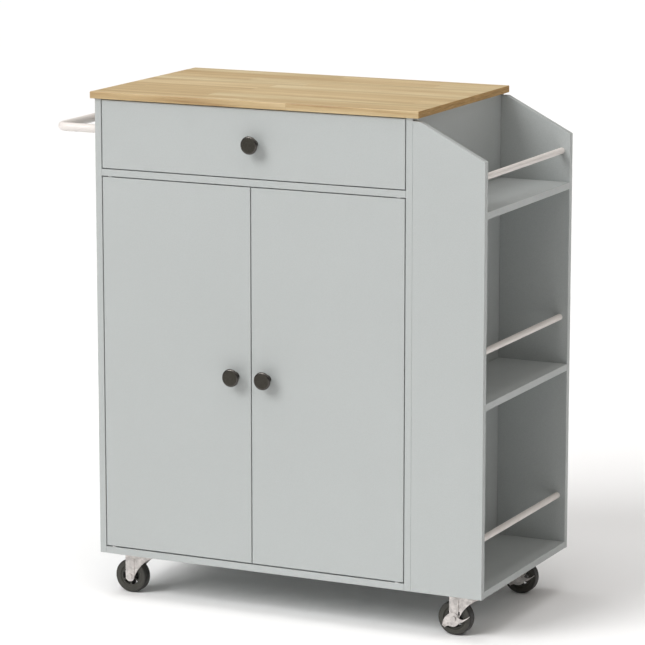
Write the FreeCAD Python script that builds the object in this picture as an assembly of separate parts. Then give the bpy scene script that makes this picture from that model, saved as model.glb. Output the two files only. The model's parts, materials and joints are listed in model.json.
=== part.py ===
import FreeCAD, Part
import math
import os

# A rolling kitchen island: a two-door cabinet with a drawer, an open side rack and a towel rail, on casters.
# Millimetres. X runs to the rack's side, Y to the back, Z up. The sizes are measured from the cabinet's
# front left lower corner; every piece is moved at the end, so that the origin is on the floor, in the
# middle of the whole island.

# Boards of the cabinet and the rack
cabinet_width = 596.5
carcass_depth = 387.5
carcass_height = 802.0
board = 12.0
board_edge_round = 0.7
front_gap = 1.7
door_lower_gap = 2.3
drawer_front_height = 117.75
rack_width = 129.5
rack_top_gap = 5.0
rack_flat_run = 11.5
rack_slope_drop = 60.0
rack_slope_round = 6.0
rack_top_bay = 149.0

# Worktop
worktop_thickness = 12.0
worktop_edge_round = 1.3
worktop_left_overhang = 7.0
worktop_right_overhang = 12.5
worktop_front_overhang = 5.0

# Thin back panel, held in grooves
back_thickness = 3.0
back_inset = 12.0
groove_depth = 4.0
groove_play = 0.1
back_top_gap = 0.3

# Shelf inside the cabinet, on four pins in a row of spare holes
shelf_height_share = 0.5
shelf_side_gap = 1.0
shelf_front_setback = 30.0
shelf_back_gap = 2.0
shelf_pin_radius = 2.5
shelf_pin_seat = 7.0
shelf_pin_reach = 9.0
shelf_pin_inset = 45.0
shelf_pin_pitch = 32.0
shelf_pin_rows = 3

# Cam fittings: a turning disc in one board pulls on a bolt that is screwed into the next board
cam_radius = 6.0
cam_depth = 9.5
cam_setback = 24.0
cam_recess_length = 7.0
cam_recess_width = 1.2
cam_recess_depth = 1.5
screw_recess_length_share = 0.95
screw_recess_width_share = 0.26
screw_recess_depth_share = 0.36
cam_bolt_radius = 2.5
cam_thread_radius = 3.4
cam_thread_length = 8.0
cam_inset = 100.0
rack_cam_inset = 28.0
fastener_clearance = 0.05

# Countersunk screws: short ones hold hardware to a board, long ones go through a side board
short_screw_radius = 1.75
short_screw_length = 10.5
long_screw_radius = 2.0
long_screw_length = 30.0
head_radius_share = 1.9
rack_screw_inset = 110.0

# Doors, turning on pins above and below
pivot_inset = 12.8
pin_radius = 2.0
pin_embed = 18.0
pin_collar_radius = 3.3
bush_radius = 3.4
bush_depth = 8.0
bush_flange_radius = 4.8
bush_flange = 0.9
pivot_end_gap = 0.3
running_clearance = 0.06

# Knobs, each on a machine screw from behind
knob_projection = 22.0
knob_radius = 15.6
knob_head_depth = 4.8
knob_back_round = 1.8
knob_rim_width = 3.0
knob_dish = 0.5
knob_neck_radius = 6.0
knob_foot_radius = 7.5
knob_foot_depth = 2.5
knob_from_door_edge = 29.25
drawer_knob_offset = 7.0
knob_screw_radius = 2.0
knob_screw_head_radius = 4.0
knob_screw_head = 2.2
knob_screw_bite = 11.0

# Magnetic catch under the divider, with a strike plate on each door
catch_width = 48.0
catch_depth = 15.0
catch_height = 12.0
catch_edge_round = 1.5
catch_gap = 0.4
magnet_width = 14.0
magnet_depth = 9.0
magnet_height = 6.0
strike_width = 17.0
strike_height = 9.0
strike_thickness = 1.0
strike_prong_radius = 1.0
strike_prong_length = 6.0

# Drawer box behind its front
drawer_lower_margin = 6.0
drawer_upper_margin = 25.0
drawer_back_room = 28.0
drawer_bottom_thickness = 3.0
drawer_bottom_rise = 8.0

# Ball runners: a channel on the cabinet, a channel on the drawer, and a cage of balls that rolls between
runner_height = 27.0
runner_depth = 10.0
runner_sheet = 1.2
runner_side_gap = 1.0
runner_lip = 1.0
runner_rise = 23.0
runner_setback = 15.0
runner_travel_share = 0.75
runner_screw_count = 3
ball_radius = 1.5
ball_play = 0.15
ball_count = 7
cage_sheet = 0.6
cage_play = 0.4

# Side rack: round rails across the shelves' open side
rail_radius = 5.5
rail_inset = 15.5
rail_seat = 5.0
lower_rail_rise = 83.0
middle_rail_rise = 82.0
upper_rail_drop = 30.0

# Towel rail: a bent tube, plugged at both ends
towel_tube_radius = 7.5
towel_tube_wall = 1.2
towel_reach = 84.0
towel_bend_radius = 20.0
towel_screw_margin = 2.0
towel_rail_drop = 55.5
towel_plug = 22.0

# Casters
left_caster_inset = 60.0
right_caster_inset = 44.0
caster_end_inset = 49.0
wheel_radius = 30.0
wheel_width = 19.0
wheel_edge_round = 3.0
wheel_recess = 1.6
wheel_rim_inner_radius = 18.8
wheel_hub_radius = 8.0
hub_side_gap = 0.4
slot_outer_radius = 16.0
slot_inner_radius = 9.0
slot_count = 6
slot_angle_share = 0.8
axle_radius = 2.5
axle_head_radius = 4.8
axle_head = 1.6
caster_trail = 22.0
caster_plate_length = 58.0
caster_plate_width = 46.0
caster_plate_thickness = 2.3
caster_plate_corner = 5.0
caster_hole_inset = 7.0
race_radius = 14.5
race_wall = 2.0
race_gap = 0.5
swivel_ball_radius = 1.5
swivel_ball_play = 0.15
swivel_ball_count = 12
swivel_ball_pitch_radius = 11.0
kingpin_radius = 4.0
kingpin_head_radius = 7.0
kingpin_head = 2.0
fork_sheet = 1.8
fork_side_gap = 1.0
fork_flare_step = 0.6
fork_flare_run = 4.5
fork_crease_depth = 1.2
fork_crease_slope = 0.5
fork_crease_width = 1.3
fork_slot_width = 2.4
fork_slot_low = 6.0
fork_slot_high = 12.6
crown_radius = 23.5
crown_skirt = 5.2
leg_half_width = 8.3
leg_tip_drop = 1.0
wheel_gap = 11.2
lever_sheet = 1.6
lever_play = 0.3
lever_wing = 20.0
lever_arm = 30.0
lever_lobe = 12.0
lever_pedal = 4.5

# The brake lever's outline, as shares of its wing or its arm along X and of its lobe along Z
lever_top_shares = (
    (-0.97, -0.98),
    (-0.91, -0.37),
    (-0.7, 0.21),
    (-0.4, 0.67),
    (0.0, 0.88),
    (0.295, 0.69),
    (0.42, 0.28),
)
lever_arm_top_shares = (
    (0.4, 0.075),
    (0.58, 0.015),
    (0.775, 0.215),
    (0.977, 0.59),
)
lever_arm_low_shares = (
    (1.0, 0.525),
    (0.785, 0.065),
    (0.573, -0.34),
    (0.497, -0.41),
    (0.42, -0.41),
)
lever_low_shares = (
    (0.51, -0.65),
    (0.35, -0.88),
    (0.19, -1.06),
    (-0.01, -1.14),
    (-0.23, -1.13),
    (-0.43, -1.05),
    (-0.56, -1.14),
    (-0.7, -1.28),
)

# Shares that place the middles of other curves
leg_hollow_along_share = 0.325
leg_hollow_up_share = 0.49
corner_middle_share = 1 - math.sqrt(0.5)

# An edge counts as upright when its direction has at least this share along Z
upright_share = 0.5

# One overrun for every cut that has to pass through a face
overrun = 2.0

# Places that follow from the sizes above
V = FreeCAD.Vector
X = V(1, 0, 0)
Y = V(0, 1, 0)
Z = V(0, 0, 1)
whole_width = cabinet_width + rack_width
opening_left = board
opening_right = cabinet_width - board
door_middle = cabinet_width / 2
drawer_top = carcass_height - front_gap
drawer_low = drawer_top - drawer_front_height
divider_top = drawer_low - front_gap
divider_low = divider_top - board
door_low = board + door_lower_gap
door_top = divider_low - front_gap
door_height = door_top - door_low
door_width = (opening_right - opening_left - 3 * front_gap) / 2
knob_height = door_low + door_height / 2
drawer_knob_height = drawer_low + drawer_front_height / 2
left_pivot_x = opening_left + front_gap + pivot_inset
right_pivot_x = opening_right - front_gap - pivot_inset
pivot_y = board / 2
back_front = carcass_depth - back_inset - back_thickness
shelf_low = door_low + door_height * shelf_height_share
rack_top = carcass_height - rack_top_gap
rack_side_top = rack_top - rack_slope_drop
rack_shelf_pitch = (carcass_height - rack_top_bay - board) / 2
rail_x = whole_width - rail_inset
rail_heights = (
    board + lower_rail_rise,
    rack_shelf_pitch + board + middle_rail_rise,
    rack_side_top - upper_rail_drop,
)
towel_height = carcass_height - towel_rail_drop
towel_rear = back_front - long_screw_radius * head_radius_share - towel_screw_margin
towel_front = carcass_depth - towel_rear
drawer_side_low = drawer_low + drawer_lower_margin
drawer_side_top = drawer_top - drawer_upper_margin
drawer_side_height = drawer_side_top - drawer_side_low
drawer_side_end = back_front - drawer_back_room
drawer_box_left = opening_left + runner_depth
drawer_box_right = opening_right - runner_depth
drawer_floor = drawer_side_low + drawer_bottom_rise
runner_start = board + runner_setback
runner_end = drawer_side_end - runner_setback
runner_length = runner_end - runner_start
runner_z = drawer_side_low + runner_rise
drawer_travel = runner_length * runner_travel_share
cage_length = runner_length - drawer_travel
plate_low = -caster_plate_thickness
crown_top = plate_low - 2 * (swivel_ball_radius + swivel_ball_play)
crown_low = crown_top - fork_sheet
skirt_low = crown_low - crown_skirt
wheel_z = crown_low - wheel_gap - wheel_radius
floor_z = wheel_z - wheel_radius
leg_inner = wheel_width / 2 + fork_side_gap
leg_outer = leg_inner + fork_sheet
caster_places = {
    "front_left": V(left_caster_inset, caster_end_inset, 0),
    "front_right": V(whole_width - right_caster_inset, caster_end_inset, 0),
    "rear_left": V(left_caster_inset, carcass_depth - caster_end_inset, 0),
    "rear_right": V(whole_width - right_caster_inset, carcass_depth - caster_end_inset, 0),
}
braked_casters = ("front_right", "rear_right")
origin = V(
    (whole_width - towel_reach - towel_tube_radius) / 2,
    (carcass_depth - knob_projection) / 2,
    floor_z,
)

pieces = {}
bores = {}


def box(low, high):
    size = high - low
    return Part.makeBox(size.x, size.y, size.z, low)


def rod(start, end, radius):
    line = end - start
    return Part.makeCylinder(radius, line.Length, start, line)


def soft_board(low, high, radius=board_edge_round):
    plain = box(low, high)
    return plain.makeFillet(radius, plain.Edges)


def bore(node, cutter):
    bores.setdefault(node, []).append(cutter)


def faced(points_and_arcs, normal):
    """A face from a closed list: a point is a corner, a pair is an arc's middle and its end."""
    edges = []
    here = points_and_arcs[0]
    for item in points_and_arcs[1:] + points_and_arcs[:1]:
        if isinstance(item, tuple):
            edges.append(Part.Arc(here, item[0], item[1]).toShape())
            here = item[1]
        elif here.distanceToPoint(item) > 0:
            edges.append(Part.makeLine(here, item))
            here = item
    face = Part.Face(Part.Wire(edges))
    if face.normalAt(0, 0).dot(normal) < 0:
        face.reverse()
    return face


def uprights(shape):
    return [e for e in shape.Edges if abs(e.tangentAt(e.FirstParameter).z) > upright_share]


def cross_cut(mouth, into, length, width, depth):
    """Cutters for a cross recess: two slots across each other, down from the mouth."""
    along = V(into.y, into.z, into.x)
    beside = into.cross(along)
    floor = mouth + into * depth
    slots = []
    for first, second in ((along, beside), (beside, along)):
        half = first * (length / 2) + second * (width / 2)
        corners = [floor - half, floor - half + first * length, floor + half, floor + half - first * length]
        slots.append(faced(corners, -into).extrude(-into * (depth + overrun)))
    return slots


def screw_recess(place, into, head_radius):
    length = head_radius * screw_recess_length_share
    width = head_radius * screw_recess_width_share
    return cross_cut(place, into, length, width, head_radius * screw_recess_depth_share)


def countersunk(place, into, radius, length, clearance):
    """A flat-headed screw, its face at the place and its shank into the board."""
    head_radius = radius * head_radius_share
    head_depth = head_radius - radius
    shank = rod(place, place + into * (length + clearance), radius + clearance)
    head = Part.makeCone(head_radius + clearance, radius + clearance, head_depth + clearance, place, into)
    return shank.fuse(head)


def fitted_screw(place, into, radius, length, nodes):
    """A countersunk screw with a cross recess, and its holes in the nodes that it goes through."""
    for node in nodes:
        bore(node, countersunk(place, into, radius, length, fastener_clearance))
    screw = countersunk(place, into, radius, length, 0)
    return screw.cut(screw_recess(place, into, radius * head_radius_share))


def short_screw(place, into, nodes):
    return fitted_screw(place, into, short_screw_radius, short_screw_length, nodes)


def long_screw(place, into, nodes):
    return fitted_screw(place, into, long_screw_radius, long_screw_length, nodes)


def cam_fitting(holder, taker, place, into, face):
    """A cam disc in the holder's face and its bolt across the joint into the taker; the place is on the
    joint, at half the holder's thickness."""
    centre = place + into * cam_setback
    mouth = centre + face * (board / 2)
    bottom = mouth - face * cam_depth
    disc = rod(mouth, bottom, cam_radius)
    hole_end = centre + into * fastener_clearance
    bolt_hole = rod(place - into * overrun, hole_end, cam_bolt_radius + fastener_clearance)
    recess = cross_cut(mouth, -face, cam_recess_length, cam_recess_width, cam_recess_depth)
    disc = disc.cut(recess + [bolt_hole])
    thread = rod(place - into * cam_thread_length, place, cam_thread_radius)
    bolt = rod(place, centre, cam_bolt_radius).fuse(thread)
    seat = bottom - face * fastener_clearance
    bore(holder, rod(mouth + face * overrun, seat, cam_radius + fastener_clearance))
    bore(holder, bolt_hole)
    thread_end = place - into * (cam_thread_length + fastener_clearance)
    bore(taker, rod(thread_end, place + into * overrun, cam_thread_radius + fastener_clearance))
    return [disc, bolt]


def make_carcass():
    top = carcass_height
    pieces["left_side_panel"] = soft_board(V(), V(board, carcass_depth, top))
    pieces["right_side_panel"] = soft_board(V(opening_right, 0, 0), V(cabinet_width, carcass_depth, top))
    pieces["base_panel"] = soft_board(V(opening_left, 0, 0), V(opening_right, carcass_depth, board))
    pieces["divider_panel"] = soft_board(
        V(opening_left, 0, divider_low), V(opening_right, back_front - groove_play, divider_top)
    )
    low = V(-worktop_left_overhang, -worktop_front_overhang, top)
    right_end = cabinet_width + worktop_right_overhang
    high = V(right_end, carcass_depth - worktop_front_overhang, top + worktop_thickness)
    pieces["worktop"] = soft_board(low, high, worktop_edge_round)


def make_back():
    low = V(opening_left - groove_depth, back_front, board - groove_depth)
    high = V(opening_right + groove_depth, back_front + back_thickness, carcass_height - back_top_gap)
    pieces["back_panel"] = box(low, high)
    play = V(groove_play, groove_play, groove_play)
    groove = box(low - play, high + play + Z * overrun)
    for node in ("left_side_panel", "right_side_panel", "base_panel"):
        bore(node, groove)


def make_shelf():
    left = opening_left + shelf_side_gap
    right = opening_right - shelf_side_gap
    pieces["inner_shelf"] = soft_board(
        V(left, shelf_front_setback, shelf_low), V(right, back_front - shelf_back_gap, shelf_low + board)
    )
    pins = []
    walls = (("left_side_panel", opening_left, X), ("right_side_panel", opening_right, -X))
    for node, wall, inwards in walls:
        for y in (shelf_pin_inset, back_front - shelf_pin_inset):
            for row in range(shelf_pin_rows):
                rise = (row - (shelf_pin_rows - 1) / 2) * shelf_pin_pitch
                mouth = V(wall, y, shelf_low - shelf_pin_radius + rise)
                seat = mouth - inwards * (shelf_pin_seat + fastener_clearance)
                bore(node, rod(mouth + inwards * overrun, seat, shelf_pin_radius + fastener_clearance))
            mouth = V(wall, y, shelf_low - shelf_pin_radius)
            pin = rod(mouth - inwards * shelf_pin_seat, mouth + inwards * shelf_pin_reach, shelf_pin_radius)
            half = V(0, shelf_pin_radius, shelf_pin_radius)
            corners = (mouth - half, mouth + half + inwards * shelf_pin_reach)
            low = V(min(c.x for c in corners), mouth.y - shelf_pin_radius, mouth.z - shelf_pin_radius)
            high = V(max(c.x for c in corners), mouth.y + shelf_pin_radius, mouth.z + shelf_pin_radius)
            pins.append(pin.fuse(box(low, high)))
    pieces["shelf_pins"] = Part.makeCompound(pins)


def rack_end_panel(front_face):
    """A rack panel: its outline in the XZ plane, flat under the worktop and then sloping outwards."""
    flat_end = cabinet_width + rack_flat_run
    outline = [
        V(cabinet_width, front_face, 0),
        V(whole_width, front_face, 0),
        V(whole_width, front_face, rack_side_top),
        V(flat_end, front_face, rack_top),
        V(cabinet_width, front_face, rack_top),
    ]
    panel = faced(outline, Y).extrude(Y * board)
    for edge in panel.Edges:
        middle = edge.CenterOfMass
        if abs(middle.x - flat_end) < rack_slope_round and abs(edge.Length - board) < board / 2:
            panel = panel.makeFillet(rack_slope_round, [edge])
            break
    outline_edges = [e for e in panel.Edges if e.Length > board + board_edge_round]
    return panel.makeFillet(board_edge_round, outline_edges)


def make_rack():
    pieces["rack_front_panel"] = rack_end_panel(0)
    pieces["rack_back_panel"] = rack_end_panel(carcass_depth - board)
    names = ("rack_bottom_shelf", "rack_middle_shelf", "rack_top_shelf")
    for level, name in enumerate(names):
        low = V(cabinet_width, board, level * rack_shelf_pitch)
        high = V(whole_width, carcass_depth - board, level * rack_shelf_pitch + board)
        pieces[name] = soft_board(low, high)
    rails = []
    for z in rail_heights:
        start = V(rail_x, board - rail_seat, z)
        end = V(rail_x, carcass_depth - board + rail_seat, z)
        rails.append(rod(start, end, rail_radius))
        play = Y * fastener_clearance
        hole = rod(start - play, end + play, rail_radius + fastener_clearance)
        bore("rack_front_panel", hole)
        bore("rack_back_panel", hole)
    pieces["rack_rails"] = Part.makeCompound(rails)


def bent_tube(radius, arm_start):
    """The towel rail's U, swept round its path: out from the wall, along, and back."""
    near = towel_front
    far = towel_rear
    out = -towel_reach
    bend = towel_bend_radius
    cut = bend * corner_middle_share
    z = towel_height
    edges = [
        Part.makeLine(V(-arm_start, near, z), V(out + bend, near, z)),
        Part.Arc(V(out + bend, near, z), V(out + cut, near + cut, z), V(out, near + bend, z)).toShape(),
        Part.makeLine(V(out, near + bend, z), V(out, far - bend, z)),
        Part.Arc(V(out, far - bend, z), V(out + cut, far - cut, z), V(out + bend, far, z)).toShape(),
        Part.makeLine(V(out + bend, far, z), V(-arm_start, far, z)),
    ]
    section = Part.Wire(Part.makeCircle(radius, V(-arm_start, near, z), X))
    return Part.Wire(edges).makePipeShell([section], True, False)


def make_towel_rail():
    tube = bent_tube(towel_tube_radius, 0)
    pieces["towel_rail"] = tube.cut(bent_tube(towel_tube_radius - towel_tube_wall, towel_plug))


def make_side_screws():
    """Long screws from inside the cabinet: two hold the towel rail, the others hold the rack's panels."""
    screws = []
    for y in (towel_front, towel_rear):
        place = V(opening_left, y, towel_height)
        screws.append(long_screw(place, -X, ("left_side_panel", "towel_rail")))
    for node, y in (("rack_front_panel", board / 2), ("rack_back_panel", carcass_depth - board / 2)):
        for z in (rack_screw_inset, carcass_height / 2, carcass_height - rack_screw_inset):
            screws.append(long_screw(V(opening_right, y, z), X, ("right_side_panel", node)))
    pieces["side_panel_screws"] = Part.makeCompound(screws)


def make_cam_fittings():
    half = board / 2
    front = cam_inset
    rear = carcass_depth - cam_inset
    made = []
    walls = (("left_side_panel", opening_left, X), ("right_side_panel", opening_right, -X))
    for side, wall, inwards in walls:
        for y in (front, rear):
            made += cam_fitting("base_panel", side, V(wall, y, half), inwards, -Z)
            made += cam_fitting("divider_panel", side, V(wall, y, divider_low + half), inwards, -Z)
            made += cam_fitting(side, "worktop", V(wall - inwards.x * half, y, carcass_height), -Z, inwards)
    shelf_x = cabinet_width + rack_cam_inset
    for level, shelf in enumerate(("rack_bottom_shelf", "rack_middle_shelf", "rack_top_shelf")):
        z = level * rack_shelf_pitch + half
        made += cam_fitting(shelf, "rack_front_panel", V(shelf_x, board, z), Y, -Z)
        made += cam_fitting(shelf, "rack_back_panel", V(shelf_x, carcass_depth - board, z), -Y, -Z)
    pieces["cam_fittings"] = Part.makeCompound(made)


def knob(place):
    """A round knob on the face at the place: foot, neck and a head with a round rim and a sunken face."""
    back = knob_projection - knob_head_depth
    turn = knob_back_round * corner_middle_share
    rim_depth = knob_head_depth - knob_back_round
    rim_middle = V(knob_radius, 0, knob_projection) - V(knob_rim_width, 0, rim_depth) * corner_middle_share
    face_edge = knob_radius - knob_rim_width
    dish = knob_projection - knob_dish
    profile = [
        V(0, 0, 0),
        V(knob_foot_radius, 0, 0),
        V(knob_foot_radius, 0, knob_foot_depth),
        (V(knob_neck_radius, 0, (knob_foot_depth + back) / 2), V(knob_radius - knob_back_round, 0, back)),
        (V(knob_radius - turn, 0, back + turn), V(knob_radius, 0, back + knob_back_round)),
        (rim_middle, V(face_edge, 0, knob_projection)),
        V(face_edge - knob_dish, 0, dish),
        V(0, 0, dish),
    ]
    shape = faced(profile, Y).revolve(V(), Z, 360)
    shape.Placement = FreeCAD.Placement(place, FreeCAD.Rotation(Z, -Y))
    depth = knob_screw_bite + fastener_clearance
    return shape.cut(rod(place + Y * overrun, place - Y * depth, knob_screw_radius + fastener_clearance))


def knob_screw(place, node):
    """A machine screw through the front at the place, its round head inside."""
    inside = place + Y * board
    shank = rod(inside, place - Y * knob_screw_bite, knob_screw_radius)
    hole = rod(inside + Y * overrun, place - Y * overrun, knob_screw_radius + fastener_clearance)
    bore(node, hole)
    head_face = inside + Y * knob_screw_head
    head = rod(inside, head_face, knob_screw_head_radius)
    screw = shank.fuse(head.makeFillet(knob_screw_head / 2, [head.Edges[0]]))
    return screw.cut(screw_recess(head_face, -Y, knob_screw_head_radius))


def door_pivots(door, pivot_x):
    """The pins in a door's upper and lower edges, each with a collar in the gap."""
    pins = []
    for edge_z, outwards, gap in ((door_low, -Z, door_lower_gap), (door_top, Z, front_gap)):
        root = V(pivot_x, pivot_y, edge_z)
        collar = gap - bush_flange - pivot_end_gap
        tip = gap + bush_depth - pivot_end_gap
        pin = rod(root - outwards * pin_embed, root + outwards * tip, pin_radius)
        pins.append(pin.fuse(rod(root, root + outwards * collar, pin_collar_radius)))
        seat = root - outwards * (pin_embed + fastener_clearance)
        bore(door, rod(seat, root + outwards * overrun, pin_radius + fastener_clearance))
    return Part.makeCompound(pins)


def make_pivot_bushes():
    """Flanged bushes in the base and the divider, which the doors' pins turn in."""
    bushes = []
    for pivot_x in (left_pivot_x, right_pivot_x):
        for node, face_z, towards_door in (("base_panel", board, Z), ("divider_panel", divider_low, -Z)):
            mouth = V(pivot_x, pivot_y, face_z)
            sleeve = rod(mouth - towards_door * bush_depth, mouth, bush_radius)
            flange = rod(mouth, mouth + towards_door * bush_flange, bush_flange_radius)
            hole = rod(
                mouth - towards_door * (bush_depth + overrun),
                mouth + towards_door * (bush_flange + overrun),
                pin_radius + running_clearance,
            )
            bushes.append(sleeve.fuse(flange).cut(hole))
            end = mouth - towards_door * (bush_depth + fastener_clearance)
            bore(node, rod(end, mouth + towards_door * overrun, bush_radius + fastener_clearance))
    pieces["pivot_bushes"] = Part.makeCompound(bushes)


def make_strike_plate(door, side_sign):
    middle_x = door_middle + side_sign * (front_gap + catch_width) / 4
    middle = V(middle_x, board, divider_low - front_gap - catch_height / 2)
    half = V(strike_width / 2, 0, strike_height / 2)
    plate = box(middle - half, middle + half + Y * strike_thickness)
    for offset in (-1, 1):
        root = middle + X * (offset * strike_width / 4)
        prong = rod(root - Y * strike_prong_length, root + Y * strike_thickness / 2, strike_prong_radius)
        plate = plate.fuse(prong)
        seat = root - Y * (strike_prong_length + fastener_clearance)
        bore(door, rod(seat, root + Y * overrun, strike_prong_radius + fastener_clearance))
    return plate


def make_doors():
    sides = (
        ("left", opening_left + front_gap, left_pivot_x, -1),
        ("right", door_middle + front_gap / 2, right_pivot_x, 1),
    )
    for side, start, pivot_x, sign in sides:
        door = side + "_door"
        pieces[door] = soft_board(V(start, 0, door_low), V(start + door_width, board, door_top))
        pieces[door + "_pivots"] = door_pivots(door, pivot_x)
        place = V(door_middle + sign * (front_gap / 2 + knob_from_door_edge), 0, knob_height)
        pieces[door + "_knob"] = knob(place)
        pieces[side + "_knob_screw"] = knob_screw(place, door)
        pieces[side + "_strike_plate"] = make_strike_plate(door, sign)


def make_catch():
    """A twin magnet in a moulded housing, screwed up into the divider."""
    front = board + strike_thickness + catch_gap
    low = V(door_middle - catch_width / 2, front, divider_low - catch_height)
    high = V(door_middle + catch_width / 2, front + catch_depth, divider_low)
    housing = box(low, high)
    housing = housing.makeFillet(catch_edge_round, uprights(housing))
    middle_z = divider_low - front_gap - catch_height / 2
    solids = []
    for sign in (-1, 1):
        centre_x = door_middle + sign * (front_gap + catch_width) / 4
        half = V(magnet_width / 2, 0, magnet_height / 2)
        centre = V(centre_x, front, middle_z)
        solids.append(box(centre - half, centre + half + Y * magnet_depth))
        play = V(fastener_clearance, 0, fastener_clearance)
        pocket_depth = Y * (magnet_depth + fastener_clearance)
        housing = housing.cut(box(centre - half - play - Y * overrun, centre + half + play + pocket_depth))
    pieces["magnetic_catch"] = Part.makeCompound([housing] + solids)


def catch_screws():
    """The catch's two screws, through its floor beside the magnets and up into the divider."""
    head_radius = short_screw_radius * head_radius_share
    depth = short_screw_length - head_radius
    made = []
    for sign in (-1, 1):
        x = door_middle + sign * (catch_width / 2 - head_radius - catch_edge_round / 2)
        y = board + strike_thickness + catch_gap + catch_depth - head_radius - catch_edge_round / 2
        place = V(x, y, divider_low - depth / 2)
        bore("magnetic_catch", rod(place, place - Z * catch_height, head_radius))
        made.append(short_screw(place, Z, ("magnetic_catch", "divider_panel")))
    return made


def make_drawer():
    pieces["drawer_front"] = soft_board(
        V(opening_left + front_gap, 0, drawer_low), V(opening_right - front_gap, board, drawer_top)
    )
    left = drawer_box_left
    right = drawer_box_right
    low = drawer_side_low
    high = drawer_side_top
    pieces["drawer_left_side"] = soft_board(V(left, board, low), V(left + board, drawer_side_end, high))
    pieces["drawer_right_side"] = soft_board(V(right - board, board, low), V(right, drawer_side_end, high))
    pieces["drawer_back"] = soft_board(
        V(left + board, drawer_side_end - board, low), V(right - board, drawer_side_end, high)
    )
    floor_low = V(left + board - groove_depth, board - groove_depth, drawer_floor)
    floor_end = drawer_side_end - board + groove_depth
    floor_high = V(right - board + groove_depth, floor_end, drawer_floor + drawer_bottom_thickness)
    pieces["drawer_bottom"] = box(floor_low, floor_high)
    play = V(groove_play, groove_play, groove_play)
    groove = box(floor_low - play, floor_high + play)
    for node in ("drawer_front", "drawer_left_side", "drawer_right_side", "drawer_back"):
        bore(node, groove)
    place = V(door_middle + drawer_knob_offset, 0, drawer_knob_height)
    pieces["drawer_knob"] = knob(place)
    pieces["drawer_knob_screw"] = knob_screw(place, "drawer_front")


def runner_channel(outer_height, start_x, end_x, web_x, lip):
    """A channel along Y in runner space: X counts from the cabinet's wall towards the drawer. The web is
    on the wall's side or the drawer's side, and a lip turns in at the flanges' free ends."""
    half = outer_height / 2
    sheet = runner_sheet
    length = Y * runner_length
    web = box(V(web_x, 0, -half), V(web_x + sheet, 0, half) + length)
    for sign in (-1, 1):
        low, high = sorted((sign * (half - sheet), sign * half))
        web = web.fuse(box(V(start_x, 0, low), V(end_x, 0, high) + length))
        if lip:
            low, high = sorted((sign * (half - sheet - lip), sign * (half - sheet / 2)))
            web = web.fuse(box(V(end_x - sheet, 0, low), V(end_x, 0, high) + length))
    return web.removeSplitter()


def cabinet_runner():
    return runner_channel(runner_height, 0, runner_depth - runner_side_gap, 0, runner_lip)


def drawer_runner_height():
    return runner_height - 2 * runner_sheet - 4 * (ball_radius + ball_play)


def drawer_runner():
    start = runner_sheet + 3 * cage_play + cage_sheet
    return runner_channel(drawer_runner_height(), start, runner_depth, runner_depth - runner_sheet, 0)


def ball_cage():
    """A thin U-shaped cage with two rows of balls, in the middle of the runner when it is closed."""
    row = drawer_runner_height() / 2 + ball_play + ball_radius
    web_x = runner_sheet + cage_play
    end_x = runner_depth - runner_side_gap - runner_sheet - cage_play
    start = (runner_length - cage_length) / 2
    half = row + cage_sheet / 2
    edge = cage_play
    low_y = start + edge
    high_y = start + cage_length - edge
    cage = box(V(web_x, low_y, -half), V(web_x + cage_sheet, high_y, half))
    for sign in (-1, 1):
        low, high = sorted((sign * (half - cage_sheet), sign * half))
        cage = cage.fuse(box(V(web_x, low_y, low), V(end_x, high_y, high)))
    ball_x = (web_x + cage_sheet + end_x) / 2
    step = (high_y - low_y) / ball_count
    balls = []
    for sign in (-1, 1):
        for index in range(ball_count):
            centre = V(ball_x, low_y + step * (2 * index + 1) / 2, sign * row)
            balls.append(Part.makeSphere(ball_radius, centre))
            lift = Z * (cage_sheet + ball_play)
            cage = cage.cut(rod(centre - lift, centre + lift, ball_radius + fastener_clearance))
    return Part.makeCompound([cage.removeSplitter()] + balls)


def on_side(shape, side):
    """A shape in runner space, moved to the left wall or mirrored to the right one."""
    moved = shape.copy()
    if side == "left":
        moved.translate(V(opening_left, runner_start, runner_z))
        return moved
    moved = moved.mirror(V(), X)
    moved.translate(V(opening_right, runner_start, runner_z))
    return moved


def runner_screw_places():
    step = runner_length / runner_screw_count
    return [runner_start + step * (2 * index + 1) / 2 for index in range(runner_screw_count)]


def make_runners():
    for side in ("left", "right"):
        pieces[side + "_cabinet_runner"] = on_side(cabinet_runner(), side)
        pieces[side + "_drawer_runner"] = on_side(drawer_runner(), side)
        pieces[side + "_ball_cage"] = on_side(ball_cage(), side)


def runner_cabinet_screws():
    made = []
    for side, wall, inwards in (("left", opening_left, X), ("right", opening_right, -X)):
        for y in runner_screw_places():
            place = V(wall + inwards.x * runner_sheet, y, runner_z)
            made.append(short_screw(place, -inwards, (side + "_cabinet_runner", side + "_side_panel")))
    return made


def make_drawer_fasteners():
    """The drawer runners' screws, and cam fittings that pull the drawer's sides to its front and back."""
    made = []
    half = board / 2
    middle_z = drawer_side_top - (drawer_side_height - drawer_bottom_rise) / 3
    sides = (
        ("left", drawer_box_left, X),
        ("right", drawer_box_right, -X),
    )
    for side, face_x, inwards in sides:
        panel = "drawer_" + side + "_side"
        for y in runner_screw_places():
            place = V(face_x - inwards.x * runner_sheet, y, runner_z)
            made.append(short_screw(place, inwards, (side + "_drawer_runner", panel)))
        centre_x = face_x + inwards.x * half
        made += cam_fitting(panel, "drawer_front", V(centre_x, board, middle_z), Y, inwards)
        joint = V(face_x + inwards.x * board, drawer_side_end - half, middle_z)
        made += cam_fitting("drawer_back", panel, joint, inwards, -Y)
    pieces["drawer_fasteners"] = Part.makeCompound(made)


def caster_hole_places():
    across = caster_plate_length / 2 - caster_hole_inset
    along = caster_plate_width / 2 - caster_hole_inset
    return [V(x, y, 0) for x in (-across, across) for y in (-along, along)]


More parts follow.
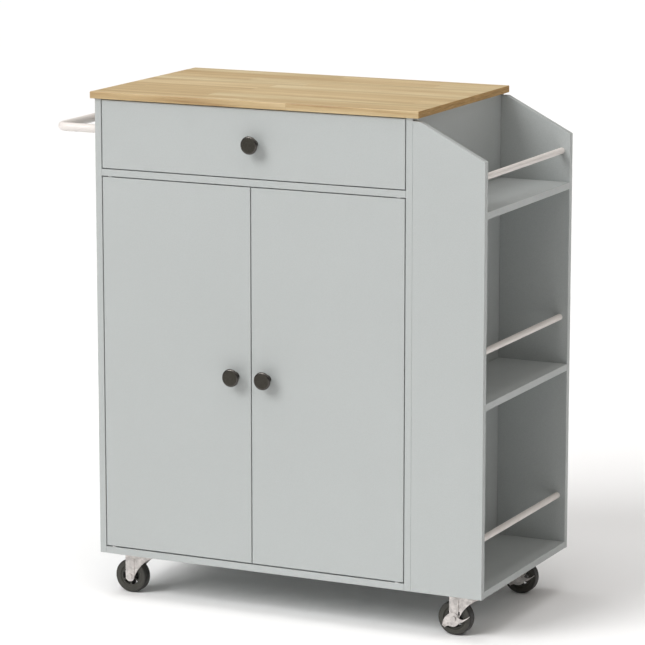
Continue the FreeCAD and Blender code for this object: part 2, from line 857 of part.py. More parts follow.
def caster_plate():
    half = V(caster_plate_length / 2, caster_plate_width / 2, 0)
    plate = box(-half - Z * caster_plate_thickness, half)
    plate = plate.makeFillet(caster_plate_corner, uprights(plate))
    race_low = crown_top + race_gap
    outside = race_radius + race_wall
    race = rod(V(0, 0, race_low), V(0, 0, plate_low / 2), outside)
    plate = plate.fuse(race.cut(rod(V(0, 0, race_low - overrun), V(0, 0, plate_low), race_radius)))
    hole = rod(V(0, 0, plate_low - overrun), V(0, 0, overrun), kingpin_radius + fastener_clearance)
    return plate.cut(hole)


def kingpin():
    """The rivet that the fork hangs on, its head under the fork's crown."""
    head_top = crown_low - swivel_ball_play
    shank = rod(V(0, 0, head_top - kingpin_head / 2), V(), kingpin_radius)
    head = rod(V(0, 0, head_top - kingpin_head), V(0, 0, head_top), kingpin_head_radius)
    return shank.fuse(head)


def swivel_balls():
    level = (plate_low + crown_top) / 2
    balls = []
    for index in range(swivel_ball_count):
        angle = 2 * math.pi * index / swivel_ball_count
        centre = V(math.cos(angle), math.sin(angle), 0) * swivel_ball_pitch_radius + Z * level
        balls.append(Part.makeSphere(swivel_ball_radius, centre))
    return balls


def fork_leg(side):
    """One leg: straight behind, round the axle, and a hollow curve up to the crown's rim. Its flare is
    pressed back a little from the outer face, with a crease pressed deeper between them."""
    face_y = -leg_outer if side < 0 else leg_inner
    axle_x = -caster_trail
    rim_x = math.sqrt(crown_radius ** 2 - leg_outer ** 2)
    back = axle_x - leg_half_width
    front = axle_x + leg_half_width
    hollow_x = front + (rim_x - front) * leg_hollow_along_share
    hollow_z = wheel_z + (skirt_low - wheel_z) * leg_hollow_up_share
    tip_z = wheel_z - leg_tip_drop
    outline = [
        V(back, face_y, crown_top),
        V(back, face_y, tip_z),
        (V(axle_x, face_y, tip_z - leg_half_width), V(front, face_y, tip_z)),
        (V(hollow_x, face_y, hollow_z), V(rim_x, face_y, skirt_low)),
        V(rim_x, face_y, crown_top),
    ]
    outer_face = side * leg_outer
    crease_face = outer_face - side * fork_crease_depth
    flare_face = outer_face - side * fork_flare_step
    beyond = outer_face + side * overrun
    crease_start = front + fork_crease_slope
    pressed = [
        V(front, outer_face, tip_z),
        V(crease_start, crease_face, tip_z),
        V(crease_start + fork_crease_width, crease_face, tip_z),
        V(crease_start + fork_crease_width + fork_flare_run, flare_face, tip_z),
        V(rim_x + overrun, flare_face, tip_z),
        V(rim_x + overrun, beyond, tip_z),
        V(front, beyond, tip_z),
    ]
    leg = faced(outline, Y).extrude(Y * fork_sheet)
    return leg.cut(faced(pressed, Z).extrude(Z * (crown_low - tip_z)))


def fork(braked):
    """The stamped fork: a crown with a turned-down rim, open towards the axle, and two legs. A braked
    fork has a slot beside the lever."""
    back = -caster_trail - leg_half_width
    crown = rod(V(0, 0, crown_low), V(0, 0, crown_top), crown_radius)
    bridge = box(V(back, -leg_outer, crown_low), V(0, leg_outer, crown_top))
    rim = rod(V(0, 0, skirt_low), V(0, 0, crown_low), crown_radius)
    inside = rod(V(0, 0, skirt_low - overrun), V(0, 0, crown_low + overrun), crown_radius - fork_sheet)
    rim = rim.cut(inside)
    opening = box(V(-crown_radius - overrun, -leg_inner, skirt_low - overrun), V(0, leg_inner, crown_low))
    legs = [fork_leg(-1), fork_leg(1)]
    shape = crown.fuse([bridge, rim.cut(opening)] + legs).removeSplitter()
    pin_radius_with_play = kingpin_radius + running_clearance
    pin_hole = rod(V(0, 0, crown_low - overrun), V(0, 0, crown_top + overrun), pin_radius_with_play)
    centre = V(-caster_trail, 0, wheel_z)
    reach = Y * (leg_outer + overrun)
    axle_hole = rod(centre - reach, centre + reach, axle_radius + fastener_clearance)
    shape = shape.cut(pin_hole).cut(axle_hole)
    if not braked:
        return shape
    slot_start = centre.x + leg_half_width
    slot_low = V(slot_start, -leg_outer - overrun, wheel_z + fork_slot_low)
    slot_high = V(slot_start + fork_slot_width, -leg_inner + overrun, wheel_z + fork_slot_high)
    return shape.cut(box(slot_low, slot_high))


def wheel():
    """A moulded wheel: a rounded tread, dished faces, a hub and slots between its spokes."""
    half = wheel_width / 2
    hub_half = leg_inner - hub_side_gap
    web = half - wheel_recess
    bore_radius = axle_radius + running_clearance
    shoulder = wheel_radius - wheel_edge_round
    turn = wheel_edge_round * corner_middle_share
    profile = [
        V(bore_radius, 0, -hub_half),
        V(wheel_hub_radius, 0, -hub_half),
        V(wheel_hub_radius, 0, -web),
        V(wheel_rim_inner_radius, 0, -web),
        V(wheel_rim_inner_radius + wheel_recess, 0, -half),
        V(shoulder, 0, -half),
        (V(wheel_radius - turn, 0, -half + turn), V(wheel_radius, 0, -half + wheel_edge_round)),
        V(wheel_radius, 0, half - wheel_edge_round),
        (V(wheel_radius - turn, 0, half - turn), V(shoulder, 0, half)),
        V(wheel_rim_inner_radius + wheel_recess, 0, half),
        V(wheel_rim_inner_radius, 0, web),
        V(wheel_hub_radius, 0, web),
        V(wheel_hub_radius, 0, hub_half),
        V(bore_radius, 0, hub_half),
    ]
    shape = faced(profile, Y).revolve(V(), Z, 360)
    sweep = 2 * math.pi * slot_angle_share / slot_count
    for index in range(slot_count):
        middle = 2 * math.pi * index / slot_count
        ends = [V(math.cos(a), math.sin(a), 0) for a in (middle - sweep / 2, middle, middle + sweep / 2)]
        outline = [
            ends[0] * slot_inner_radius,
            ends[0] * slot_outer_radius,
            (ends[1] * slot_outer_radius, ends[2] * slot_outer_radius),
            ends[2] * slot_inner_radius,
            (ends[1] * slot_inner_radius, ends[0] * slot_inner_radius),
        ]
        face = faced(outline, Z)
        face.translate(Z * -(half + overrun))
        shape = shape.cut(face.extrude(Z * (wheel_width + 2 * overrun)))
    shape.Placement = FreeCAD.Placement(V(-caster_trail, 0, wheel_z), FreeCAD.Rotation(Z, Y))
    return shape


def axle(braked):
    """A rivet through the fork; on a braked caster its front head also holds the lever."""
    centre = V(-caster_trail, 0, wheel_z)
    front = leg_outer + (lever_sheet + 2 * lever_play if braked else 0)
    rear = leg_outer
    shank = rod(centre - Y * front, centre + Y * rear, axle_radius)
    front_head = rod(centre - Y * (front + axle_head), centre - Y * front, axle_head_radius)
    rear_head = rod(centre + Y * rear, centre + Y * (rear + axle_head), axle_head_radius)
    return shank.fuse([front_head, rear_head])


def lever_points(size, shares):
    """Points of the brake lever's outer face, round the axle, for shares of a length and of the lobe."""
    centre = V(-caster_trail, -leg_outer - lever_play, wheel_z)
    return [centre + V(size * along, 0, lever_lobe * up) for along, up in shares]


def with_arcs(points):
    """An outline's corner and then arcs, each from two points: its middle and its end."""
    return [points[0]] + list(zip(points[1::2], points[2::2]))


def brake_lever():
    """A stamped lever on the axle's front end: a wing with a foot pedal, a lobe below and a thin arm."""
    top = lever_points(lever_wing, lever_top_shares)
    arm_top = lever_points(lever_arm, lever_arm_top_shares)
    arm_low = lever_points(lever_arm, lever_arm_low_shares)
    low = lever_points(lever_wing, lever_low_shares)
    outline = with_arcs(top + arm_top) + with_arcs(arm_low + low)
    lever = faced(outline, Y).extrude(-Y * lever_sheet)
    edge_low = low[-1]
    edge_high = top[0]
    inward = (edge_high - edge_low).cross(Y)
    inward.normalize()
    if inward.z < 0:
        inward = -inward
    rise = inward * lever_sheet
    pedal = faced([edge_low, edge_high, edge_high + rise, edge_low + rise], Y).extrude(-Y * lever_pedal)
    axle_end = V(-caster_trail, -leg_outer - lever_play, wheel_z)
    hole_end = Y * (lever_sheet + overrun)
    hole = rod(axle_end + Y * overrun, axle_end - hole_end, axle_radius + running_clearance)
    return lever.fuse(pedal).removeSplitter().cut(hole)


def placed(shape, place):
    moved = shape.copy()
    moved.translate(place)
    return moved


def caster_screws():
    made = []
    for corner, place in caster_places.items():
        board_above = "base_panel" if corner.endswith("left") else "rack_bottom_shelf"
        for hole in caster_hole_places():
            made.append(short_screw(place + hole + Z * plate_low, Z, (board_above, "caster_plates")))
    return made


def make_casters():
    plates = []
    balls = []
    for corner, place in caster_places.items():
        braked = corner in braked_casters
        plates += [placed(caster_plate(), place), placed(kingpin(), place)]
        balls += [placed(ball, place) for ball in swivel_balls()]
        pieces[corner + "_fork"] = placed(fork(braked), place)
        pieces[corner + "_wheel"] = placed(wheel(), place)
        pieces[corner + "_axle"] = placed(axle(braked), place)
        if braked:
            pieces[corner + "_brake_lever"] = placed(brake_lever(), place)
    pieces["caster_plates"] = Part.makeCompound(plates)
    pieces["swivel_balls"] = Part.makeCompound(balls)


def drilled(node):
    """A node with all its bores cut, each solid of a group by itself."""
    shape = pieces[node]
    if node not in bores:
        return shape
    solids = [solid.cut(bores[node]) for solid in shape.Solids]
    return solids[0] if len(solids) == 1 else Part.makeCompound(solids)


def build():
    make_carcass()
    make_back()
    make_shelf()
    make_rack()
    make_towel_rail()
    make_side_screws()
    make_cam_fittings()
    make_doors()
    make_pivot_bushes()
    make_catch()
    make_drawer()
    make_runners()
    make_drawer_fasteners()
    make_casters()
    pieces["cabinet_screws"] = Part.makeCompound(runner_cabinet_screws() + catch_screws() + caster_screws())
    os.makedirs("parts", exist_ok=True)
    for node in sorted(pieces):
        shape = drilled(node)
        shape.translate(-origin)
        shape.exportStep("parts/" + node + ".step")
        state = "valid" if shape.isValid() else "BAD"
        print(node, len(shape.Solids), "solids", round(shape.Volume), "mm3", state)


build()
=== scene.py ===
import json
import math

import bpy
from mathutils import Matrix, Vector

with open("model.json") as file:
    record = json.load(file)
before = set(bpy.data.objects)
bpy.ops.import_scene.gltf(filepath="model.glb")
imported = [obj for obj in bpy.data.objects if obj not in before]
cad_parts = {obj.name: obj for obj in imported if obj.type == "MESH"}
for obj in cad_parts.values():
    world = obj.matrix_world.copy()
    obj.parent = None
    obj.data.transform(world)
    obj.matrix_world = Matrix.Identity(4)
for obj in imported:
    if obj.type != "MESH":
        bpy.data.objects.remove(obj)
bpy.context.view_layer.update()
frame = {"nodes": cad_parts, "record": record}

nodes = frame["nodes"]

# Lengths are in metres
MM = 0.001
# The middle of anything that runs from 0 to 1, such as a piece's box in Generated coordinates
MIDDLE = 0.5
# A noise texture's values mostly lie between these two
NOISE_LOW = 0.3
NOISE_HIGH = 0.7
# The part of a face's normal that lies along an axis when the face begins to count as facing that axis,
# and when it fully does
FACING_FROM = 0.55
FACING_FULLY = 0.75

WHITE = (1.0, 1.0, 1.0)

# The sockets of a Mix node that mixes colours
MIX_SHARE = 0
MIX_FIRST = 6
MIX_SECOND = 7
MIX_RESULT = 2

# The Principled shader's sockets, by the names that the materials use
SHADER_SOCKETS = {
    "colour": "Base Color",
    "roughness": "Roughness",
    "metal": "Metallic",
    "relief": "Normal",
    "coat": "Coat Weight",
    "coat_roughness": "Coat Roughness",
    "specular": "Specular IOR Level",
}


# Shader node helpers
class Shading:
    """A material's node tree, with its Principled shader and its coordinates at hand."""

    def __init__(self, name):
        self.material = bpy.data.materials.new(name)
        self.material.use_nodes = True
        self.tree = self.material.node_tree
        self.shader = self.tree.nodes["Principled BSDF"]
        self.coordinates = self.tree.nodes.new("ShaderNodeTexCoord")
        self.place = self.coordinates.outputs["Object"]
        self.in_box = self.coordinates.outputs["Generated"]
        self.normal = self.coordinates.outputs["Normal"]

    def add(self, kind, inputs=(), **settings):
        """A node of that kind; inputs go in by name or number, as values or as other nodes' sockets."""
        made = self.tree.nodes.new("ShaderNode" + kind)
        for key, value in settings.items():
            setattr(made, key, value)
        for key, value in dict(inputs).items():
            self.feed(made.inputs[key], value)
        return made

    def feed(self, socket, value):
        """Links a node's socket, or sets a value; a colour of three numbers is made opaque."""
        if isinstance(value, bpy.types.NodeSocket):
            self.tree.links.new(value, socket)
        elif isinstance(value, tuple) and len(socket.default_value) == len(value) + 1:
            socket.default_value = (*value, 1.0)
        else:
            socket.default_value = value

    def math(self, operation, *values):
        return self.add("Math", enumerate(values), operation=operation).outputs[0]

    def plus(self, first, second):
        return self.math("ADD", first, second)

    def minus(self, first, second):
        return self.math("SUBTRACT", first, second)

    def times(self, first, second):
        return self.math("MULTIPLY", first, second)

    def vector_math(self, operation, *values):
        return self.add("VectorMath", enumerate(values), operation=operation).outputs[0]

    def scaled(self, vector, *factors):
        return self.vector_math("MULTIPLY", vector, factors)

    def split(self, vector):
        return self.add("SeparateXYZ", {0: vector}).outputs

    def joined(self, *values):
        return self.add("CombineXYZ", enumerate(values)).outputs[0]

    def noise(self, place, scale, detail=2.0, roughness=0.5, distortion=0.0):
        """Noise with that many features per unit of place, in every direction or by axis."""
        if isinstance(scale, tuple):
            place = self.scaled(place, *scale)
            scale = 1.0
        made = self.add("TexNoise", {
            "Vector": place,
            "Scale": scale,
            "Detail": detail,
            "Roughness": roughness,
            "Distortion": distortion,
        })
        return made.outputs["Fac"]

    def ramp(self, value, *stops):
        """Colours at places of 0 to 1; a stop is (place, colour), and a colour may be one grey level."""
        made = self.add("ValToRGB", {0: value})
        elements = made.color_ramp.elements
        while len(elements) < len(stops):
            elements.new(MIDDLE)
        for element, (place, colour) in zip(elements, stops):
            if not isinstance(colour, tuple):
                colour = (colour, colour, colour)
            element.position = place
            element.color = (*colour, 1.0)
        return made.outputs[0]

    def mixed(self, share, first, second, blend="MIX"):
        made = self.add("Mix", data_type="RGBA", blend_type=blend)
        self.feed(made.inputs[MIX_SHARE], share)
        self.feed(made.inputs[MIX_FIRST], first)
        self.feed(made.inputs[MIX_SECOND], second)
        return made.outputs[MIX_RESULT]

    def multiplied(self, first, second):
        """One colour times another."""
        return self.mixed(1.0, first, second, "MULTIPLY")

    def between(self, value, old_range, new_range):
        """The value carried from one range to another, and held at the new range's ends."""
        made = self.add("MapRange", {
            "Value": value,
            "From Min": old_range[0],
            "From Max": old_range[1],
            "To Min": new_range[0],
            "To Max": new_range[1],
        })
        return made.outputs[0]

    def step(self, value, start, end):
        """0 up to start, rising to 1 at end."""
        return self.between(value, (start, end), (0.0, 1.0))

    def from_noise(self, noise, low, high):
        """A noise's values carried to the range of low to high."""
        return self.between(noise, (NOISE_LOW, NOISE_HIGH), (low, high))

    def bump(self, height, distance, strength, after=None):
        made = self.add("Bump", {"Height": height, "Distance": distance, "Strength": strength})
        if after is not None:
            self.feed(made.inputs["Normal"], after)
        return made.outputs["Normal"]

    def off_centre(self):
        """How far a point is from the middle of the piece's box along X and Z, as shares of the box."""
        parts = self.split(self.in_box)
        return self.minus(parts["X"], MIDDLE), self.minus(parts["Z"], MIDDLE)

    def radius(self, across, up):
        """The distance of a point from the piece's axis along Y: 1 at the sides of the piece's box."""
        squares = self.plus(self.times(across, across), self.times(up, up))
        return self.math("DIVIDE", self.math("SQRT", squares), MIDDLE)

    def facing(self, part):
        """1 on faces that look along the axis whose part of the normal is given, either way."""
        return self.step(self.math("ABSOLUTE", part), FACING_FROM, FACING_FULLY)

    def finish(self, **sockets):
        for key, value in sockets.items():
            self.feed(self.shader.inputs[SHADER_SOCKETS[key]], value)
        return self.material


# Materials
def board_material(name, light, dark, roughness):
    """Foil on fibreboard: a fine embossed texture, faint cloudiness, and a little burnish from handling."""
    speck_share = 0.05
    burnish = 0.05
    dulling = 0.06
    s = Shading(name)
    cloud = s.noise(s.place, scale=2.6, detail=3.0, roughness=0.55)
    speck = s.noise(s.place, scale=760.0, detail=2.0, roughness=0.6)
    emboss = s.noise(s.place, scale=1150.0, detail=3.0, roughness=0.62)
    wave = s.noise(s.place, scale=34.0, detail=2.0, roughness=0.4)
    patchy = s.noise(s.place, scale=11.0, detail=4.0, roughness=0.6)
    colour = s.mixed(s.from_noise(cloud, 0.0, 1.0), dark, light)
    colour = s.mixed(speck_share, colour, s.ramp(speck, (0.35, 0.0), (0.65, 1.0)), "OVERLAY")
    embossed = s.bump(emboss, distance=0.06 * MM, strength=0.55)
    return s.finish(
        colour=colour,
        roughness=s.from_noise(patchy, roughness - burnish, roughness + dulling),
        relief=s.bump(wave, distance=0.35 * MM, strength=0.25, after=embossed),
        specular=0.42,
    )


# The oak's staves
ROW_WIDTH = 43.1 * MM
STAVE_LENGTH = 520 * MM

# Ramp stops for the oak's grain, the staves' own tints and the growth rings on their ends
OAK_GRAIN = (
    (0.32, (0.388, 0.25, 0.11)),
    (0.44, (0.54, 0.394, 0.205)),
    (0.55, (0.632, 0.49, 0.278)),
    (0.68, (0.755, 0.618, 0.389)),
)
OAK_TINTS = (
    (0.0, (0.86, 0.80, 0.72)),
    (0.35, (0.96, 0.94, 0.91)),
    (0.7, WHITE),
    (1.0, (1.0, 1.04, 1.08)),
)
# Growth ring colours, darkened partly as painted shade on the end faces
OAK_RINGS_WITH_SHADE = (
    (0.3, (0.25, 0.13, 0.03)),
    (0.5, (0.37, 0.215, 0.062)),
    (0.7, (0.5, 0.31, 0.115)),
)


def oak_staves(s, x, y):
    """A point's place across the rows and along its row, counted in staves, and its stave's random values.

    Each row is shifted along X by a length of its own, so that the staves' ends don't line up.
    """
    row_start = 11.5 * MM
    largest_row_shift = 3700 * MM
    across = s.math("DIVIDE", s.plus(y, row_start), ROW_WIDTH)
    row = s.math("FLOOR", across)
    row_noise = s.add("TexWhiteNoise", {"W": row}, noise_dimensions="1D").outputs["Value"]
    along = s.math("DIVIDE", s.plus(x, s.times(row_noise, largest_row_shift)), STAVE_LENGTH)
    stave = s.joined(row, s.math("FLOOR", along), 0.0)
    stave_noise = s.add("TexWhiteNoise", {"Vector": stave}, noise_dimensions="2D").outputs
    return across, along, stave_noise["Value"], stave_noise["Color"]


def glue_line(s, staves, stave_size, half_width):
    """1 at the edges of the staves that a place is counted in, falling to 0 at half the line's width."""
    from_middle = s.math("ABSOLUTE", s.minus(s.math("FRACT", staves), MIDDLE))
    return s.step(from_middle, MIDDLE - half_width / stave_size, MIDDLE)


def oak_end_grain_and_shade(s, y, z, tone):
    """The cut ends' colour: growth rings, which lie higher or lower by stave, and cut pores; the rings are
    darkened partly as painted shade.
    """
    largest_ring_shift = 40 * MM
    ring_place = s.joined(0.0, y, s.plus(z, s.times(tone, largest_ring_shift)))
    rings = s.noise(ring_place, scale=(1.0, 26.0, 520.0), detail=3.0, roughness=0.6, distortion=0.5)
    pores = s.noise(s.place, scale=(1.0, 1900.0, 1900.0), detail=1.0)
    pore_share = s.ramp(pores, (0.58, 0.0), (0.7, 0.35))
    pore_colour = (0.26, 0.15, 0.07)
    return s.mixed(pore_share, s.ramp(rings, *OAK_RINGS_WITH_SHADE), pore_colour)


def oak_material(name):
    """Glued staves along X, each with its own tone and grain; pores, streaks and darker glue lines."""
    s = Shading(name)
    x, y, z = s.split(s.place)
    normal = s.split(s.normal)
    across, along, tone, random_colour = oak_staves(s, x, y)

    # Each stave has its grain from a place of its own, given by its random colour
    own_place = s.vector_math("ADD", s.place, s.scaled(random_colour, 9.0, 7.0, 5.0))
    broad = s.noise(own_place, scale=(2.2, 42.0, 42.0), detail=3.0, roughness=0.55, distortion=0.6)
    fine = s.noise(own_place, scale=(7.0, 330.0, 330.0), detail=3.0, roughness=0.6, distortion=0.3)
    pores = s.noise(own_place, scale=(34.0, 1250.0, 1250.0))
    broad_share = 0.72
    grain = s.plus(s.times(broad, broad_share), s.times(fine, 1.0 - broad_share))
    colour = s.multiplied(s.ramp(grain, *OAK_GRAIN), s.ramp(tone, *OAK_TINTS))
    pore_share = s.ramp(pores, (0.60, 0.0), (0.72, 0.42))
    pore_colour = (0.27, 0.155, 0.07)
    colour = s.mixed(pore_share, colour, pore_colour)

    # Glue lines between rows and at the staves' ends
    row_line = glue_line(s, across, ROW_WIDTH, half_width=0.35 * MM)
    end_line = glue_line(s, along, STAVE_LENGTH, half_width=0.3 * MM)
    line = s.math("MAXIMUM", row_line, end_line)
    line_share = 0.55
    line_colour = (0.25, 0.15, 0.075)
    colour = s.mixed(s.times(line, line_share), colour, line_colour)

    # Painted shade on the front and back edges, which get a darker tint, and end grain on the two ends,
    # darkened partly as painted shade
    edge_shade_tint = (0.83, 0.84, 0.855)
    on_end = s.facing(normal["X"])
    colour = s.mixed(s.facing(normal["Y"]), colour, s.multiplied(colour, edge_shade_tint))
    colour = s.mixed(on_end, colour, oak_end_grain_and_shade(s, y, z, tone))

    # Raised grain, sunk pores and glue lines
    grain_height = 0.6
    pore_height = -0.8
    line_depth = 1.2
    height = s.plus(s.times(fine, grain_height), s.times(pores, pore_height))
    height = s.minus(height, s.times(line, line_depth))

    end_roughness = 0.3
    oiled = s.between(fine, (0.25, 0.75), (0.36, 0.52))
    return s.finish(
        colour=colour,
        roughness=s.plus(oiled, s.times(on_end, end_roughness)),
        relief=s.bump(height, distance=0.09 * MM, strength=0.6),
        coat=0.1,
        coat_roughness=0.28,
        specular=0.42,
    )


def knob_material(name):
    """Dark burnished nickel: circular brushing, a mottled face, and a lighter rim in patches that is
    painted highlight.
    """
    rim_start = 0.79
    rim_full = 0.85
    # Painted highlight: the rim's colour is lighter than the face's
    rim_highlight_colour = (0.09, 0.083, 0.078)
    rim_polish = -0.12
    s = Shading(name)
    across, up = s.off_centre()
    radius = s.radius(across, up)
    angle = s.math("ARCTAN2", across, up)
    depth = s.split(s.in_box)["Y"]
    brushed = s.noise(s.joined(radius, angle, depth), scale=(95.0, 0.8, 1.0), detail=2.0, roughness=0.6)
    mottle_and_highlight_noise = s.noise(s.place, scale=420.0, detail=3.0, roughness=0.6)
    patchy = s.between(mottle_and_highlight_noise, (0.35, 0.6), (0.5, 1.0))
    # Where the painted highlight lies: the rim, in patches of noise
    painted_highlight_rim = s.times(s.step(radius, rim_start, rim_full), patchy)
    face = s.ramp(brushed, (NOISE_LOW, (0.052, 0.0485, 0.0415)), (NOISE_HIGH, (0.0755, 0.071, 0.0605)))
    mottle = s.ramp(mottle_and_highlight_noise, (0.36, 0.72), (0.64, 1.0))
    face = s.multiplied(face, mottle)
    return s.finish(
        colour=s.mixed(painted_highlight_rim, face, rim_highlight_colour),
        metal=1.0,
        roughness=s.plus(s.from_noise(brushed, 0.3, 0.42), s.times(painted_highlight_rim, rim_polish)),
        relief=s.bump(brushed, distance=0.04 * MM, strength=0.5),
    )


def powder_material(name, dark, light):
    """Powder coat: an orange-peel surface with a faint warm cast and small dull patches."""
    s = Shading(name)
    peel = s.noise(s.place, scale=620.0)
    cloud = s.noise(s.place, scale=16.0, detail=3.0, roughness=0.6)
    return s.finish(
        colour=s.mixed(s.from_noise(cloud, 0.0, 1.0), dark, light),
        roughness=s.from_noise(cloud, 0.32, 0.44),
        relief=s.bump(peel, distance=0.12 * MM, strength=0.5),
        specular=0.4,
    )


def zinc_material(name, dark, light):
    """Zinc plate on stamped steel: cloudy spangle and fine rolling lines."""
    tone_low = 0.25
    tone_high = 0.75
    spangle_share = 0.35
    s = Shading(name)
    cells = s.add("TexVoronoi", {"Vector": s.place, "Scale": 210.0, "Randomness": 1.0}).outputs["Color"]
    spangle = s.split(cells)[0]
    cloud = s.noise(s.place, scale=90.0, detail=4.0, roughness=0.62)
    lines = s.noise(s.place, scale=(60.0, 60.0, 1500.0))
    tone = s.plus(s.times(spangle, spangle_share), s.times(cloud, 1.0 - spangle_share))
    clouded = s.bump(cloud, distance=0.18 * MM, strength=0.35)
    return s.finish(
        colour=s.ramp(tone, (tone_low, dark), (tone_high, light)),
        metal=0.72,
        roughness=s.between(tone, (tone_low, tone_high), (0.5, 0.33)),
        relief=s.bump(lines, distance=0.03 * MM, strength=0.5, after=clouded),
    )


def wheel_material(name):
    """Moulded black plastic: faint dust and turned rings on the faces, a darker tread."""
    clean = (0.029, 0.028, 0.022)
    dusty = (0.05, 0.048, 0.038)
    tread = (0.017, 0.016, 0.015)
    tread_start = 0.87
    tread_full = 0.97
    tread_share = 0.75
    ring_frequency = 150.0
    s = Shading(name)
    radius = s.radius(*s.off_centre())
    dust = s.noise(s.place, scale=130.0, detail=4.0, roughness=0.65)
    grain = s.noise(s.place, scale=900.0)
    colour = s.mixed(s.step(dust, 0.3, 0.75), clean, dusty)
    on_tread = s.step(radius, tread_start, tread_full)
    rings = s.math("SINE", s.times(radius, ring_frequency))
    grained = s.bump(grain, distance=0.06 * MM, strength=0.4)
    return s.finish(
        colour=s.mixed(s.times(on_tread, tread_share), colour, tread),
        roughness=s.from_noise(dust, 0.4, 0.6),
        relief=s.bump(rings, distance=0.05 * MM, strength=0.35, after=grained),
        specular=0.5,
    )


def steel_material(name):
    """Bright zinc on fasteners and runners: drawn lines and a slight blue cast."""
    s = Shading(name)
    lines = s.noise(s.place, scale=(900.0, 25.0, 900.0), detail=2.0, roughness=0.6)
    cloud = s.noise(s.place, scale=55.0, detail=3.0, roughness=0.6)
    return s.finish(
        colour=s.ramp(cloud, (NOISE_LOW, (0.47, 0.48, 0.5)), (NOISE_HIGH, (0.62, 0.63, 0.65))),
        metal=1.0,
        roughness=s.from_noise(lines, 0.22, 0.38),
        relief=s.bump(lines, distance=0.03 * MM, strength=0.5),
    )


def nylon_material(name):
    """White moulded nylon, slightly mottled, with a fine spark texture from the mould."""
    s = Shading(name)
    cloud = s.noise(s.place, scale=140.0, detail=3.0, roughness=0.6)
    spark = s.noise(s.place, scale=1400.0)
    return s.finish(
        colour=s.ramp(cloud, (NOISE_LOW, (0.84, 0.84, 0.82)), (NOISE_HIGH, (0.9, 0.9, 0.88))),
        roughness=0.45,
        relief=s.bump(spark, distance=0.05 * MM, strength=0.5),
    )


# The keys are the record's material slots
materials = {
    "grey_board": board_material(
        "grey_board_foil", light=(0.400, 0.421, 0.417), dark=(0.387, 0.407, 0.403), roughness=0.44,
    ),
    "back_board": board_material(
        "back_board_paint", light=(0.385, 0.408, 0.406), dark=(0.366, 0.388, 0.385), roughness=0.6,
    ),
    "oak_board": oak_material("oak_staves"),
    "dark_knob": knob_material("burnished_nickel"),
    "white_rail": powder_material(
        "rail_powder_coat", dark=(0.675, 0.633, 0.602), light=(0.713, 0.671, 0.64),
    ),
    "zinc": zinc_material("caster_zinc", dark=(0.45, 0.425, 0.41), light=(0.693, 0.6545, 0.6314)),
    "black_wheel": wheel_material("wheel_plastic"),
    "bright_steel": steel_material("bright_zinc"),
    "white_plastic": nylon_material("moulded_nylon"),
}
for row in frame["record"]["subparts"]:
    node = nodes[row["node"]]
    node.data.materials.clear()
    node.data.materials.append(materials[row["material_slot"]])


# Floor, light and camera
FLOOR_REACH = 60.0
FLOOR_COLOUR = (0.95, 0.95, 0.95, 1.0)
FLOOR_ROUGHNESS = 0.8

WORLD_COLOUR = (1.0, 0.965, 0.93, 1.0)
WORLD_STRENGTH = 0.2

# Each sun's strength, the angle it spans in degrees, its colour and the direction in which it stands
SUNS = {
    "key": (2.15, 34, WHITE, (-0.52, -0.86, 0.74)),
    "overhead": (1.2, 40, WHITE, (-0.1, -0.05, 1.0)),
    "right_fill": (0.6, 50, (1.0, 0.95, 0.91), (0.66, -0.3, 1.1)),
}

SOFTBOX_WIDTH = 3.4
SOFTBOX_HEIGHT = 0.6
SOFTBOX_POWER = 15.0
SOFTBOX_PLACE = (0.2, -2.6, 3.0)
SOFTBOX_TARGET = (0.0, 0.0, 0.5)

CAMERA_LENS = 187.58
CAMERA_PLACE = (2.506, -5.1709, 1.6088)
# A camera turned about X by this many degrees looks level
CAMERA_DEGREES_LEVEL = 90.0
CAMERA_DEGREES_DOWN = 11.075
CAMERA_DEGREES_LEFT = 25.607
CAMERA_NEAR = 0.1
CAMERA_FAR = 200.0


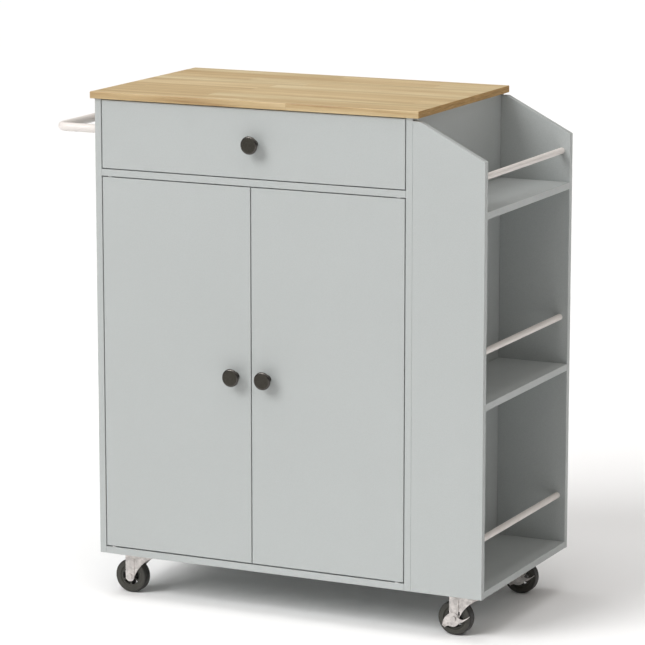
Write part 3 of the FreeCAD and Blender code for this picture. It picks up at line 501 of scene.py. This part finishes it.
def make_floor():
    low = -FLOOR_REACH
    high = FLOOR_REACH
    corners = [(low, low, 0), (high, low, 0), (high, high, 0), (low, high, 0)]
    mesh = bpy.data.meshes.new("studio_floor")
    mesh.from_pydata(corners, [], [range(len(corners))])
    floor = bpy.data.objects.new("studio_floor", mesh)
    bpy.context.scene.collection.objects.link(floor)
    material = bpy.data.materials.new("studio_floor")
    material.use_nodes = True
    inputs = material.node_tree.nodes["Principled BSDF"].inputs
    inputs["Base Color"].default_value = FLOOR_COLOUR
    inputs["Roughness"].default_value = FLOOR_ROUGHNESS
    mesh.materials.append(material)


def make_world():
    world = bpy.data.worlds.new("studio")
    world.use_nodes = True
    background = world.node_tree.nodes["Background"]
    background.inputs["Color"].default_value = WORLD_COLOUR
    background.inputs["Strength"].default_value = WORLD_STRENGTH
    bpy.context.scene.world = world


def add_lamp(name, light, source):
    """A lamp whose light comes from the direction of source."""
    lamp = bpy.data.objects.new(name, light)
    lamp.rotation_mode = "QUATERNION"
    lamp.rotation_quaternion = source.to_track_quat("Z", "Y")
    bpy.context.scene.collection.objects.link(lamp)
    return lamp


def make_lights():
    for name, (strength, span, colour, source) in SUNS.items():
        sun = bpy.data.lights.new(name, "SUN")
        sun.energy = strength
        sun.angle = math.radians(span)
        sun.color = colour
        add_lamp(name, sun, Vector(source))
    softbox = bpy.data.lights.new("softbox", "AREA")
    softbox.shape = "RECTANGLE"
    softbox.size = SOFTBOX_WIDTH
    softbox.size_y = SOFTBOX_HEIGHT
    softbox.energy = SOFTBOX_POWER
    lamp = add_lamp("softbox", softbox, Vector(SOFTBOX_PLACE) - Vector(SOFTBOX_TARGET))
    lamp.location = SOFTBOX_PLACE


def make_camera():
    data = bpy.data.cameras.new("camera")
    data.lens = CAMERA_LENS
    data.clip_start = CAMERA_NEAR
    data.clip_end = CAMERA_FAR
    camera = bpy.data.objects.new("camera", data)
    camera.rotation_mode = "XYZ"
    camera.location = CAMERA_PLACE
    tilt = math.radians(CAMERA_DEGREES_LEVEL - CAMERA_DEGREES_DOWN)
    camera.rotation_euler = (tilt, 0, math.radians(CAMERA_DEGREES_LEFT))
    bpy.context.scene.collection.objects.link(camera)
    bpy.context.scene.camera = camera


make_floor()
make_world()
make_lights()
make_camera()
bpy.context.scene.view_settings.view_transform = "Standard"
